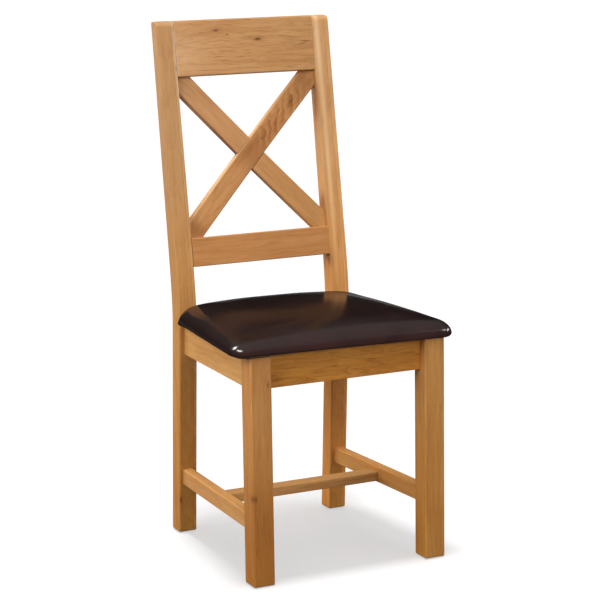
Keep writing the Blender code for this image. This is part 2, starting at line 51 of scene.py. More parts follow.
class Wire:
    # one socket of a node tree: sums on it add the Math nodes they need
    def __init__(self, tree, socket=None):
        self.tree = tree
        self.socket = socket

    def add(self, kind, settings=None, inputs=None, out=0):
        node = self.tree.nodes.new(kind)
        for name, value in (settings or {}).items():
            setattr(node, name, value)
        for key, value in (inputs or {}).items():
            if isinstance(value, Wire):
                self.tree.links.new(value.socket, node.inputs[key])
            else:
                node.inputs[key].default_value = value
        return Wire(self.tree, node.outputs[out]) if len(node.outputs) else None

    def other(self, out):
        return Wire(self.tree, self.socket.node.outputs[out])

    def sum(self, operation, *values):
        return self.add("ShaderNodeMath", {"operation": operation}, dict(enumerate(values)))

    def vector(self, operation, *values, out=0):
        return self.add("ShaderNodeVectorMath", {"operation": operation}, dict(enumerate((self, *values))), out)

    def axis(self, name):
        return self.add("ShaderNodeSeparateXYZ", None, {0: self}, name)

    def step(self, low, high, first=0.0, last=1.0):
        return self.add("ShaderNodeMapRange", {"interpolation_type": "SMOOTHSTEP"},
                        {0: self, 1: low, 2: high, 3: first, 4: last})

    def mix(self, first, last):
        # a Mix node's colours go in at sockets 6 and 7 and come out at 2
        return self.add("ShaderNodeMix", {"data_type": "RGBA"}, {0: self, 6: colour(first), 7: colour(last)}, 2)

    def join(self, x=0.0, y=0.0, z=0.0):
        return self.add("ShaderNodeCombineXYZ", None, {"X": x, "Y": y, "Z": z})

    def bell(self, steepness=1.0):
        # of a squared distance: 1 in the middle, softly falling to 0
        return 2.718 ** (self * -steepness)

    def before(self, operation, value):
        return self.sum(operation, self, value)

    def after(self, operation, value):
        return self.sum(operation, value, self)

    __add__, __radd__ = partialmethod(before, "ADD"), partialmethod(after, "ADD")
    __sub__, __rsub__ = partialmethod(before, "SUBTRACT"), partialmethod(after, "SUBTRACT")
    __mul__, __rmul__ = partialmethod(before, "MULTIPLY"), partialmethod(after, "MULTIPLY")
    __truediv__, __rtruediv__ = partialmethod(before, "DIVIDE"), partialmethod(after, "DIVIDE")
    __pow__, __rpow__ = partialmethod(before, "POWER"), partialmethod(after, "POWER")


def colour(rgb):
    return rgb if isinstance(rgb, Wire) else (*rgb, 1.0)


def addObject(name, data):
    piece = bpy.data.objects.new(name, data)
    scene.collection.objects.link(piece)
    return piece


def newMaterial(name):
    material = bpy.data.materials.new(name)
    material.use_nodes = True
    material.node_tree.nodes.clear()
    return material, Wire(material.node_tree)


def surface(tree, inputs):
    shader = tree.add("ShaderNodeBsdfPrincipled", None, inputs)
    tree.add("ShaderNodeOutputMaterial", None, {"Surface": shader})


def objectPlace(tree):
    return tree.add("ShaderNodeTexCoord", None, None, "Object")


def grain(spot, look, shift=None):
    stretched = spot.vector("MULTIPLY_ADD", look["stretch"], shift or look["shift"])
    return spot.add("ShaderNodeTexNoise", None,
                    {"Vector": stretched, "Scale": 1.0, "Detail": look.get("detail", 2.0),
                     "Roughness": look.get("rough", 0.5)})


def layer(spot, look, shift=None):
    # noise that comes in between two of its levels
    return grain(spot, look, shift).step(*look["between"])


def relief(tree, look, height):
    return tree.add("ShaderNodeBump", None,
                    {"Strength": look["bump"], "Distance": look["bumpDepth"], "Height": height})


edgeTurn = (0.01, 0.16)    # 1 minus the cosine of the turn, where an edge starts and is full


def edgeMask(tree, radius):
    # how far the normal turns within the radius: strong on a rounded edge
    turned = tree.add("ShaderNodeBevel", {"samples": 4}, {"Radius": radius})
    straight = tree.add("ShaderNodeNewGeometry", None, None, "Normal")
    return (1.0 - turned.vector("DOT_PRODUCT", straight, out="Value")).step(*edgeTurn)


# Camera at the photograph's place
view = {
    "place": (-1.85116, -3.80679, 1.33353),
    "yaw": 26.0714,
    "pitch": -10.902,
    "roll": -0.8775,
    "lens": 125.22,
    "sensor": 36.0,
}


def addCamera():
    data = bpy.data.cameras.new("camera")
    data.lens = view["lens"]
    data.sensor_width = view["sensor"]
    camera = addObject("camera", data)
    turn = (Matrix.Rotation(math.radians(-view["yaw"]), 4, "Z")
            @ Matrix.Rotation(math.radians(90.0 + view["pitch"]), 4, "X")
            @ Matrix.Rotation(math.radians(view["roll"]), 4, "Z"))
    camera.matrix_world = Matrix.Translation(view["place"]) @ turn
    scene.camera = camera


addCamera()
print("camera set")

# White floor that keeps the shadow, a grey studio round it and soft lamps
studio = {
    "floorSide": 120.0,
    "floorColour": (0.20, 0.20, 0.20),
    "floorShown": (0.475, 0.471, 0.473),    # to the eye, with the glow on top
    "floorGlow": 0.54,
    "sweepFrom": (20.0, 50.0),    # metres out, where a gloss starts to mirror the floor white
    "sweepTop": 0.012,
    "skyTop": 1.20,
    "skyLow": 0.02,
    "skyFrom": (0.35, 0.98),    # sine of the height where the ceiling's light starts and is full
    "overhead": {"strength": 2.0, "angle": 8.0, "tilt": (3.0, -3.0)},
}
# lights: what a lamp falls on; glossy and diffuse: whether it shows in the gloss and in the plain light
lamps = {
    "keyLeft": {"place": (-2.2, -0.9, 1.6), "aim": (0.0, 0.1, 0.7), "size": (1.3, 1.3),
                "power": 48.0, "glossy": False},
    "frontTop": {"place": (0.5, -2.2, 2.5), "aim": (0.0, 0.1, 0.8), "size": (1.5, 1.2),
                 "power": 38.0, "lights": "behind", "glossy": False},
    "frontLow": {"place": (0.0, -2.6, 1.15), "aim": (0.0, -0.22, 0.35), "size": (1.4, 0.6),
                 "power": 19.5, "lights": "front", "glossy": False},
    "rearTop": {"place": (-0.7, 2.0, 2.2), "aim": (0.0, 0.0, 0.15), "size": (1.2, 1.0),
                "power": 26.0, "glossy": False},
    "rearLow": {"place": (-1.05, 1.85, 0.80), "aim": (-0.1, 0.1, 0.9), "size": (1.6, 0.5),
                "power": 21.0, "lights": "wood", "glossy": False, "colour": (1.0, 0.93, 0.82)},
    "rightSide": {"place": (2.6, -0.5, 0.9), "aim": (0.0, 0.1, 0.7), "size": (0.5, 1.4),
                  "power": 26.0, "lights": "wood"},
    "padFront": {"place": (-0.8, -2.9, 0.75), "aim": (0.0, -0.2, 0.49), "size": (1.6, 0.6),
                 "power": 210.0, "lights": "pad", "glossy": False},
    # bright spots on the pad's front corners
    "sparkLeft": {"place": (-1.00, 1.72, 2.63), "aim": (-0.248, -0.230, 0.485), "size": (0.9, 0.6),
                  "power": 95.0, "lights": "pad", "diffuse": False},
    "sparkTop": {"place": (-1.52, -0.72, 3.16), "aim": (-0.240, -0.247, 0.483), "size": (1.7, 1.0),
                 "power": 310.0, "lights": "pad", "diffuse": False},
    "sparkRight": {"place": (3.01, -0.67, 1.50), "aim": (0.218, -0.251, 0.477), "size": (1.2, 0.45),
                   "power": 84.0, "lights": "pad", "diffuse": False},
    "streakRight": {"place": (2.28, -1.72, 2.07), "aim": (0.210, -0.253, 0.478), "size": (1.1, 0.4),
                    "power": 48.0, "lights": "pad", "diffuse": False},
}
lampTargets = []    # what each lamp falls on, filled in when the pad is made


def shownRay(tree, mirrored):
    # what the eye sees, straight or through something clear, and what a gloss mirrors
    path = tree.add("ShaderNodeLightPath", None, None, "Is Camera Ray")
    clear = path.sum("MAXIMUM", path, path.other("Is Transmission Ray"))
    return clear.sum("MAXIMUM", clear, path.other("Is Glossy Ray") * mirrored)


def addFloor():
    half = studio["floorSide"] / 2
    mesh = bpy.data.meshes.new("floor")
    mesh.from_pydata([(-half, -half, 0), (half, -half, 0), (half, half, 0), (-half, half, 0)], [], [(0, 1, 2, 3)])
    floor = addObject("floor", mesh)
    material, tree = newMaterial("paleFloor")
    away = objectPlace(tree).vector("LENGTH", out="Value")
    seen = shownRay(tree, away.step(*studio["sweepFrom"]))
    matt = tree.add("ShaderNodeBsdfDiffuse", None, {"Color": colour(studio["floorColour"])})
    pale = tree.add("ShaderNodeBsdfDiffuse", None, {"Color": colour(studio["floorShown"])})
    glow = tree.add("ShaderNodeEmission", None, {"Strength": studio["floorGlow"]})
    lit = tree.add("ShaderNodeAddShader", None, {0: pale, 1: glow})
    shown = tree.add("ShaderNodeMixShader", None, {0: seen, 1: matt, 2: lit})
    clear = tree.add("ShaderNodeBsdfTransparent")
    below = tree.add("ShaderNodeNewGeometry", None, None, "Backfacing")    # seen from underneath it is open
    whole = tree.add("ShaderNodeMixShader", None, {0: below, 1: shown, 2: clear})
    tree.add("ShaderNodeOutputMaterial", None, {"Surface": whole})
    mesh.materials.append(material)
    return floor


def addSky():
    world = bpy.data.worlds.new("studio")
    scene.world = world
    world.use_nodes = True
    world.node_tree.nodes.clear()
    tree = Wire(world.node_tree)
    height = tree.add("ShaderNodeTexCoord", None, None, "Generated").axis("Z")
    seen = shownRay(tree, height.step(0.0, studio["sweepTop"], 1.0, 0.0))
    dome = height.step(*studio["skyFrom"], studio["skyLow"], studio["skyTop"])
    plain = tree.add("ShaderNodeBackground", None, {"Strength": dome})
    white = tree.add("ShaderNodeBackground", None, {"Color": colour((1.0, 1.0, 1.0)), "Strength": 1.0})
    whole = tree.add("ShaderNodeMixShader", None, {0: seen, 1: plain, 2: white})
    tree.add("ShaderNodeOutputWorld", None, {"Surface": whole})


def limitLamp(light, target):
    lit = bpy.data.collections.new(light.name + "Lit")
    light.light_linking.receiver_collection = lit
    lampTargets.append((lit, target))


def addLamps():
    for name, lamp in lamps.items():
        data = bpy.data.lights.new(name, "AREA")
        data.shape = "RECTANGLE"
        data.size, data.size_y = lamp["size"]
        data.energy = lamp["power"]
        data.color = lamp.get("colour", (1.0, 1.0, 1.0))
        light = addObject(name, data)
        place = Vector(lamp["place"])
        facing = (Vector(lamp["aim"]) - place).to_track_quat("-Z", "Y")
        light.matrix_world = Matrix.Translation(place) @ facing.to_matrix().to_4x4()
        light.visible_camera = False
        light.visible_glossy = lamp.get("glossy", True)
        light.visible_diffuse = lamp.get("diffuse", True)
        limitLamp(light, lamp.get("lights", "object"))
    overhead = studio["overhead"]
    data = bpy.data.lights.new("overhead", "SUN")
    data.energy = overhead["strength"]
    data.angle = math.radians(overhead["angle"])
    sun = addObject("overhead", data)
    sun.visible_glossy = False
    sun.rotation_euler = Euler([math.radians(turn) for turn in (*overhead["tilt"], 0.0)])
    limitLamp(sun, "frame")


paleFloor = addFloor()
addSky()
addLamps()
print("floor, sky and lamps set")

# Oak boards, each with its own grain and marks, and patches of painted light and shade
slopes = {"back": 0.153, "post": 0.09, "side": 0.04, "brace": 47.3}    # the brace's in degrees
backTilt = math.atan(slopes["back"])
braceTurn = math.radians(slopes["brace"])
backFace = Vector((0.0, -math.cos(backTilt), math.sin(backTilt)))
backUp = Vector((0.0, math.sin(backTilt), math.cos(backTilt)))
across = Vector((1.0, 0.0, 0.0))
upright = Vector((0.0, 0.0, 1.0))
frontFace = Vector((0.0, -1.0, 0.0))
leftFace = Vector((-1.0, 0.0, 0.0))
postUp = Vector((0.0, slopes["post"], 1.0))
leftRun = Vector((slopes["side"], 1.0, 0.0))
rightRun = Vector((-slopes["side"], 1.0, 0.0))
rising = math.cos(braceTurn) * across + math.sin(braceTurn) * backUp
falling = math.cos(braceTurn) * across - math.sin(braceTurn) * backUp

oak = {
    "light": (0.570, 0.290, 0.100),
    "honey": (0.455, 0.200, 0.058),
    "dark": (0.285, 0.105, 0.027),
    "pore": (0.190, 0.064, 0.016),
    # the vein colour: the dark of the flame figure's veins, and also painted shade and shadow in the board patches
    "veinAndShade": (0.200, 0.064, 0.014),
    "rust": (0.400, 0.128, 0.022),
    "knot": (0.105, 0.029, 0.006),
    # pale and bright go only into painted light: patches of painted sheen and painted highlights
    "pale": (0.720, 0.450, 0.210),
    "bright": (0.95, 0.78, 0.56),
    "worn": (0.62, 0.35, 0.14),
    "roughness": 0.44,
    "shine": 0.40,
    "bump": 0.45,
    "bumpDepth": 0.00035,
    "edgeRound": 0.004,
    "seed": 11,
    # where a board lay in its tree, drawn for each one
    "shift": 50.0,
    "pithSide": 0.03,
    "pithBehind": (0.05, 0.09),
    "leanAcross": 0.035,
    "leanBack": 0.02,
    # noise: how dense it is along, across and into the board, and the levels it comes in between
    "wander": {"stretch": (3.0, 16.0, 16.0), "detail": 3.0, "reach": 0.022},
    "ripple": {"stretch": (16.0, 80.0, 80.0), "reach": 0.0042},
    "fade": {"stretch": (4.0, 30.0, 30.0), "between": (0.35, 0.65)},
    "streak": {"stretch": (5.0, 95.0, 95.0), "detail": 3.0, "rough": 0.6, "between": (0.28, 0.74)},
    "cloud": {"stretch": (4.0, 12.0, 12.0), "between": (0.3, 0.7)},
    "coarse": {"stretch": (15.0, 270.0, 270.0), "rough": 0.6, "between": (0.52, 0.68)},
    "fine": {"stretch": (30.0, 620.0, 620.0), "rough": 0.6, "between": (0.52, 0.70)},
    "fibre": {"stretch": (70.0, 1500.0, 1500.0)},
    "ringGap": 0.0062,
    "ringFaint": 0.35,    # what is left of a growth line where it fades
    "knotForm": {"long": 2.9, "deep": 0.008, "halo": 0.08, "push": 0.55, "haloShade": 0.12, "most": 0.95},
    "flameForm": {"curls": {"stretch": (26.0, 55.0, 55.0), "detail": 3.0, "rough": 0.6}, "curl": 0.034,
                  "slant": (0.68, 0.73), "gap": 0.017, "between": (0.30, 0.92), "rust": 0.45, "veinAndShade": 0.90},
    "glue": {"soft": 0.0002, "shade": 0.22, "width": 0.0009, "line": 0.5},
    "hueReach": 0.8,
    # how much of each goes into the colour; a pair is the plain part and what the streaks add
    "shares": {"streak": 0.65, "cloud": 0.35, "line": 0.55, "coarse": 0.55, "fine": 0.6, "pores": 0.7,
               "patch": (0.75, 0.5), "worn": (0.25, 0.25)},
    "rougher": {"streak": 0.07, "pores": 0.16},
    "edgePolish": 0.07,
    "heights": {"fibre": 0.35, "pores": 0.9, "line": 0.25},
}
plainBoard = {"wave": 0.8, "rings": 0.4, "flecks": 0.85}
noiseMiddle = (0.5, 0.5, 0.5)

# tints above 1 lift boards in the seat's shade, and the two ends differ to paint sheen where light falls and shade
# towards the floor
# lies: which way the grain and the best face point
# hue: tint of the board's far end and, if it differs, hueLow of its near end, the board's own tone with painted
# light in it:
# knots: place, size and strength; flames: place, length, width and strength
# patches, mostly painted sheen, highlights and shade: place, length, width, colour, strength and, where it
# matters, depth
boards = {
    "crest_rail": {
        # painted light on the crest: its left end tinted paler, a pool of painted sheen there, and a painted
        # highlight on its end face by the post
        "lies": (across, backFace), "hue": (0.88, 0.93, 1.06), "hueLow": (0.94, 0.99, 1.18),
        "wave": 1.2, "rings": 0.6, "flecks": 1.5,
        "knots": (((-0.0658, 0.2257, 1.0632), 0.0020, 0.95), ((-0.0403, 0.2243, 1.0539), 0.0011, 0.8),
                  ((0.0297, 0.2224, 1.0416), 0.0029, 0.95), ((0.1077, 0.2213, 1.0341), 0.0042, 0.2)),
        "patches": (((-0.150, 0.22, 1.02), 0.06, 0.05, "pale", 0.30),
                    ((-0.1600, 0.215, 1.02), 0.0010, 0.2, "bright", 0.45)),
    },
    "lower_back_rail": {"lies": (across, backFace), "hue": (0.90, 0.82, 0.80)},
    "cross_brace_rising": {
        "lies": (rising, backFace), "hue": (0.95, 0.94, 1.02),
        "wave": 1.6, "rings": 0.5,
        "knots": (((0.1001, 0.2152, 0.9069), 0.0016, 0.85), ((0.0282, 0.2064, 0.8328), 0.0014, 0.8)),
        "flames": (((0.050, 0.209, 0.850), 0.058, 0.020, 0.85), ((0.105, 0.216, 0.908), 0.034, 0.018, 0.80)),
        # darker where the braces cross; painted shadow at both ends by the posts and a painted lit band on the
        # upper-left side face
        "patches": (((0.000, 0.2031, 0.8027), 0.036, 0.04, "dark", 0.68),
                    ((0.138, 0.219, 0.948), 0.022, 0.03, "dark", 0.6),
                    ((-0.140, 0.172, 0.651), 0.018, 0.03, "dark", 0.8),
                    ((-0.0171, 0.2055, 0.8183), 0.30, 0.0022, "pale", 0.7)),
    },
    "cross_brace_falling": {
        # painted light: the upper-left end tinted paler with sheen, and painted shade on the lower-left side face
        "lies": (falling, backFace), "hue": (0.86, 0.85, 0.86), "hueLow": (1.00, 1.05, 1.34),
        "wave": 0.6, "rings": 0.35,
        "patches": (((-0.0173, 0.2007, 0.7868), 0.30, 0.0018, "veinAndShade", 0.9),),
    },
    "rear_post_left": {
        # painted light: the tint runs from whitish sheen high up to deeper shade low down, and a painted highlight
        # runs down the inner front edge
        "lies": (postUp, frontFace), "hue": (0.96, 1.10, 1.42), "hueLow": (1.17, 1.09, 0.73),
        "wave": 0.5, "glueLine": -0.012,
        "knots": (((-0.1969, 0.1673, 0.0750), 0.0020, 0.85), ((-0.1622, 0.2155, 0.9890), 0.0016, 0.9)),
        "patches": (((-0.1612, 0.22, 1.00), 0.10, 0.0012, "bright", 0.5),),
    },
    "rear_post_right": {
        # painted light: the tint runs from whitish sheen high up to deeper shade low down, pale patches paint
        # sheen bands on the front face, and vein patches paint the braces' shadows on the inner face
        "lies": (postUp, frontFace), "hue": (1.08, 1.20, 1.50), "hueLow": (1.42, 1.24, 0.80),
        "wave": 0.5, "glueLine": -0.009,
        "patches": (((0.170, 0.22, 1.03), 0.12, 0.006, "pale", 0.5),
                    ((0.173, 0.18, 0.76), 0.20, 0.005, "pale", 0.5),
                    ((0.160, 0.212, 0.905), 0.042, 0.004, "veinAndShade", 1.0, 0.011),
                    ((0.160, 0.184, 0.690), 0.020, 0.004, "veinAndShade", 0.9, 0.011),
                    ((0.160, 0.156, 0.568), 0.014, 0.004, "veinAndShade", 0.9, 0.009)),
    },
    "front_leg_left": {
        # painted light: the tint deepens towards the floor, and a painted shade line runs down the inner edge
        # where the leg meets the seat rail
        "lies": (upright, frontFace), "hue": (1.10, 1.05, 0.96), "hueLow": (0.86, 0.67, 0.37),
        "wave": 0.6, "rings": 0.35,
        "knots": (((-0.2140, -0.2390, 0.1830), 0.0020, 0.85), ((-0.2092, -0.2421, 0.1820), 0.0016, 0.85),
                  ((-0.1788, -0.2421, 0.4086), 0.0022, 0.6)),
        "patches": (((-0.1706, -0.2410, 0.425), 0.045, 0.0011, "veinAndShade", 0.9),),
    },
    # painted light: the tint deepens towards the floor, where the leg lies in shade
    "front_leg_right": {
        "lies": (upright, frontFace), "hue": (1.16, 1.11, 0.90), "hueLow": (1.06, 0.94, 0.62),
        "wave": 0.6, "rings": 0.35,
    },
    "front_seat_rail": {"lies": (across, frontFace), "hue": (1.16, 0.96, 0.47),
                        "wave": 2.0, "rings": 1.2, "flecks": 1.3},
    "rear_seat_rail": {"lies": (across, frontFace), "hue": (0.95, 0.84, 0.60), "wave": 1.0, "rings": 0.5},
    # tints above 1 lift the rails and stretchers under the seat out of its shade: painted light
    "left_seat_rail": {"lies": (leftRun, leftFace), "hue": (1.27, 1.34, 1.28)},
    "right_seat_rail": {"lies": (rightRun, leftFace), "hue": (0.95, 0.87, 0.74)},
    "left_stretcher": {"lies": (leftRun, leftFace), "hue": (1.21, 1.24, 1.22)},
    "right_stretcher": {"lies": (rightRun, leftFace), "hue": (1.36, 1.32, 1.12)},
    "middle_stretcher": {"lies": (across, frontFace), "hue": (1.10, 1.15, 1.17)},
    "corner_block_front_left": {"lies": (across + frontFace, upright), "hue": (0.98, 0.93, 0.84)},
    "corner_block_front_right": {"lies": (across - frontFace, upright), "hue": (0.96, 0.91, 0.82)},
    "corner_block_rear_left": {"lies": (across - frontFace, upright), "hue": (1.0, 0.95, 0.86)},
    "corner_block_rear_right": {"lies": (across + frontFace, upright), "hue": (0.97, 0.92, 0.83)},
}


def boardTurn(along, face):
    length = along.normalized()
    depth = (face - length * face.dot(length)).normalized()
    return Matrix((length, depth.cross(length), depth)).transposed()


def oakFinish(name, board, draw):
    board = {**plainBoard, **board}
    low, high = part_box(name)
    middle = (low + high) / 2
    turn = boardTurn(*board["lies"])

    def either(reach):
        return draw.uniform(-reach, reach)

    shift = [either(oak["shift"]) for _ in range(3)]
    pith = (0.0, either(oak["pithSide"]), -draw.uniform(*oak["pithBehind"]))
    leanAcross, leanBack = either(oak["leanAcross"]), either(oak["leanBack"])
    material, tree = newMaterial("oak_" + name)
    local = tree.add("ShaderNodeMapping", {"vector_type": "TEXTURE"},
                     {"Vector": objectPlace(tree), "Location": middle, "Rotation": turn.to_euler()})
    x, y, z = local.axis("X"), local.axis("Y"), local.axis("Z")

    def onBoard(spot):
        return turn.transposed() @ (Vector(spot) - middle)

    def oval(at, length, width, depth=None):
        # squared distance from a place on the board, 1 on the oval itself
        run, off = (x - at.x) / length, (y - at.y) / width
        far = run * run + off * off
        if depth:
            deep = (z - at.z) / depth
            far = far + deep * deep
        return far

    # the grain wanders, and swells round each knot
    warped = local
    for look in (oak["wander"], oak["ripple"]):
        noise = grain(local, look, shift).other("Color")
        reach = look["reach"] * board["wave"]
        sway = noise.vector("SUBTRACT", noiseMiddle).vector("MULTIPLY", (0.0, reach, reach))
        warped = warped.vector("ADD", sway)
    form = oak["knotForm"]
    knots = None
    for spot, size, strength in board.get("knots", ()):
        at = onBoard(spot)
        far = oval(at, size * form["long"], size, form["deep"])
        halo = far.bell(form["halo"])
        warped = warped.vector("ADD", tree.join(0.0, (y - at.y) * halo * -form["push"]))
        knot = (far.bell() + halo * form["haloShade"]) * strength
        knots = knot if knots is None else knots.sum("MAXIMUM", knots, knot)
    # growth rings round a pith that lies behind the board and leans across it
    leaning = tree.join(0.0, x * leanAcross, x * leanBack)
    fromPith = warped.vector("SUBTRACT", pith).vector("ADD", leaning).vector("MULTIPLY", (0.0, 1.0, 1.0))
    years = fromPith.vector("LENGTH", out="Value") / oak["ringGap"]
    ring = years.sum("FRACT", years)
    fade = oak["ringFaint"] + layer(local, oak["fade"], shift[::-1]) * (1 - oak["ringFaint"])
    line = ring ** 3.0 * fade * board["rings"]
    streak = layer(warped, oak["streak"], shift)
    cloud = layer(local, oak["cloud"], shift[::-1])
    coarse = layer(warped, oak["coarse"], shift)
    fine = layer(warped, oak["fine"], shift)
    fibre = grain(warped, oak["fibre"], shift)
    edge = edgeMask(tree, oak["edgeRound"])
    shares = oak["shares"]
    pores = (coarse * shares["coarse"] + fine * shares["fine"]) * (0.5 + line * 0.5) * board["flecks"]

    tint = (streak * shares["streak"] + cloud * shares["cloud"]).mix(oak["light"], oak["honey"])
    tint = (line * shares["line"]).mix(tint, oak["dark"])
    flame = oak["flameForm"]
    for spot, length, width, strength in board.get("flames", ()):
        # dark wavy figure on a rusty ground, inside a soft oval
        soft = oval(onBoard(spot), length, width).bell()
        curl = grain(local, flame["curls"], shift).axis("X") - noiseMiddle[0]
        fold = (x * flame["slant"][0] - y * flame["slant"][1] + curl * flame["curl"]) / flame["gap"]
        tongue = fold.sum("FRACT", fold).step(*flame["between"])
        tint = (soft * strength * flame["rust"]).mix(tint, oak["rust"])
        tint = (soft * tongue * strength * flame["veinAndShade"]).mix(tint, oak["veinAndShade"])
    tint = (pores * shares["pores"]).mix(tint, oak["pore"])
    if "glueLine" in board:
        # two boards glued side by side, the second a little darker
        glue = oak["glue"]
        off = y - board["glueLine"]
        tint = (off.step(-glue["soft"], glue["soft"]) * glue["shade"]).mix(tint, oak["dark"])
        tint = off.sum("ABSOLUTE", off).step(0.0, glue["width"], glue["line"], 0.0).mix(tint, oak["pore"])
    if knots is not None:
        tint = knots.sum("MINIMUM", knots, form["most"]).mix(tint, oak["knot"])
    # the patches paint light and shade into the colour: sheen, highlights and shadows
    plain, streaked = shares["patch"]
    for spot, length, width, key, strength, *depth in board.get("patches", ()):
        soft = oval(onBoard(spot), length, width, *depth).bell()
        tint = (soft * strength * (plain + streak * streaked)).mix(tint, oak[key])
    plain, streaked = shares["worn"]
    tint = (edge * (plain + streak * streaked)).mix(tint, oak["worn"])
    # the tint runs from one end of the board to the other: painted light, paler where light and sheen fall and
    # deeper in shade
    reach = oak["hueReach"] * ((high - low).dot(Vector([abs(part) for part in turn.col[0]])) / 2)
    hue = x.step(-reach, reach).mix(board.get("hueLow", board["hue"]), board["hue"])
    tint = tint.vector("MULTIPLY", hue)
    rougher, heights = oak["rougher"], oak["heights"]
    roughness = oak["roughness"] + streak * rougher["streak"] + pores * rougher["pores"] - edge * oak["edgePolish"]
    height = fibre * heights["fibre"] - pores * heights["pores"] - line * heights["line"]
    surface(tree, {"Base Color": tint, "Roughness": roughness, "Specular IOR Level": oak["shine"],
                   "Normal": relief(tree, oak, height)})
    return material


def dress(node, material):
    nodes[node].data.materials.clear()
    nodes[node].data.materials.append(material)


draw = random.Random(oak["seed"])
for name, board in boards.items():
    dress(name, oakFinish(name, board, draw))
print("oak boards finished:", len(boards))

# Plywood under the seat, zinc screws and staples, matt glides
plywood = {
    "pale": (0.60, 0.44, 0.26),
    "brown": (0.47, 0.31, 0.16),
    "soiled": 0.6,    # of the brown, in pores and on edges
    "ply": 0.0024,
    "plyBetween": (0.44, 0.56),
    "streak": {"stretch": (70.0, 4.0, 70.0), "shift": (3.0, 1.0, 0.0), "detail": 3.0, "rough": 0.6,
               "between": (0.3, 0.72)},
    "pores": {"stretch": (600.0, 30.0, 600.0), "shift": (0.0, 5.0, 0.0), "between": (0.58, 0.74)},
    "shares": {"streak": 0.6, "ply": 0.25, "pores": 0.5, "edge": 0.2},
    "roughness": 0.62,
    "streakRougher": 0.1,
    "edgePolish": 0.05,
    "streakHeight": 0.4,
    "edgeRound": 0.003,
    "bump": 0.5,
    "bumpDepth": 0.0003,
}
steel = {
    "bright": (0.58, 0.58, 0.60),
    "dull": (0.40, 0.40, 0.42),
    "worn": (0.75, 0.75, 0.76),
    "cloud": {"stretch": (600.0, 600.0, 600.0), "shift": (2.0, 0.0, 7.0), "detail": 3.0, "between": (0.3, 0.7)},
    "scratch": {"stretch": (4000.0, 400.0, 400.0), "shift": (0.0, 3.0, 1.0)},
    "wornShare": 0.4,
    "roughness": 0.34,
    "cloudRougher": 0.14,
    "edgePolish": 0.06,
    "edgeRound": 0.0004,
    "bump": 0.25,
    "bumpDepth": 0.00005,
}
plastic = {
    "black": (0.030, 0.030, 0.031),
    "grey": (0.060, 0.060, 0.061),
    "speck": {"stretch": (2200.0, 2200.0, 2200.0), "shift": (1.0, 4.0, 2.0)},
    "scuff": {"stretch": (300.0, 500.0, 300.0), "shift": (5.0, 0.0, 2.0), "detail": 3.0, "between": (0.5, 0.75)},
    "shares": {"scuff": 0.5, "edge": 0.4},
    "roughness": 0.55,
    "scuffRougher": 0.15,
    "edgePolish": 0.08,
    "edgeRound": 0.001,
    "bump": 0.3,
    "bumpDepth": 0.0001,
}


def plywoodFinish():
    material, tree = newMaterial("plywood")
    place = objectPlace(tree)
    streak, pores = layer(place, plywood["streak"]), layer(place, plywood["pores"])
    plies = place.axis("Z") / plywood["ply"]
    ply = plies.sum("FRACT", plies).step(*plywood["plyBetween"])
    edge = edgeMask(tree, plywood["edgeRound"])
    shares = plywood["shares"]
    tint = (streak * shares["streak"] + ply * shares["ply"]).mix(plywood["pale"], plywood["brown"])
    soiled = [value * plywood["soiled"] for value in plywood["brown"]]
    tint = (pores * shares["pores"] + edge * shares["edge"]).mix(tint, soiled)
    roughness = plywood["roughness"] + streak * plywood["streakRougher"] - edge * plywood["edgePolish"]
    bump = relief(tree, plywood, streak * plywood["streakHeight"] - pores)
    surface(tree, {"Base Color": tint, "Roughness": roughness, "Normal": bump})
    return material


def steelFinish():
    material, tree = newMaterial("zincSteel")
    place = objectPlace(tree)
    cloud = layer(place, steel["cloud"])
    edge = edgeMask(tree, steel["edgeRound"])
    tint = cloud.mix(steel["bright"], steel["dull"])
    tint = (edge * steel["wornShare"]).mix(tint, steel["worn"])
    roughness = steel["roughness"] + cloud * steel["cloudRougher"] - edge * steel["edgePolish"]
    bump = relief(tree, steel, grain(place, steel["scratch"]))
    surface(tree, {"Base Color": tint, "Metallic": 1.0, "Roughness": roughness, "Normal": bump})
    return material


def plasticFinish():
    material, tree = newMaterial("glidePlastic")
    place = objectPlace(tree)
    scuff = layer(place, plastic["scuff"])
    edge = edgeMask(tree, plastic["edgeRound"])
    shares = plastic["shares"]
    tint = (scuff * shares["scuff"] + edge * shares["edge"]).mix(plastic["black"], plastic["grey"])
    roughness = plastic["roughness"] + scuff * plastic["scuffRougher"] - edge * plastic["edgePolish"]
    bump = relief(tree, plastic, grain(place, plastic["speck"]))
    surface(tree, {"Base Color": tint, "Roughness": roughness, "Normal": bump})
    return material


plywoodMade = plywoodFinish()
steelMade = steelFinish()
plasticMade = plasticFinish()
dress("seat_board", plywoodMade)
for name in nodes:
    if "_glide_" in name:
        dress(name, plasticMade)
print("plywood, steel and plastic finished")

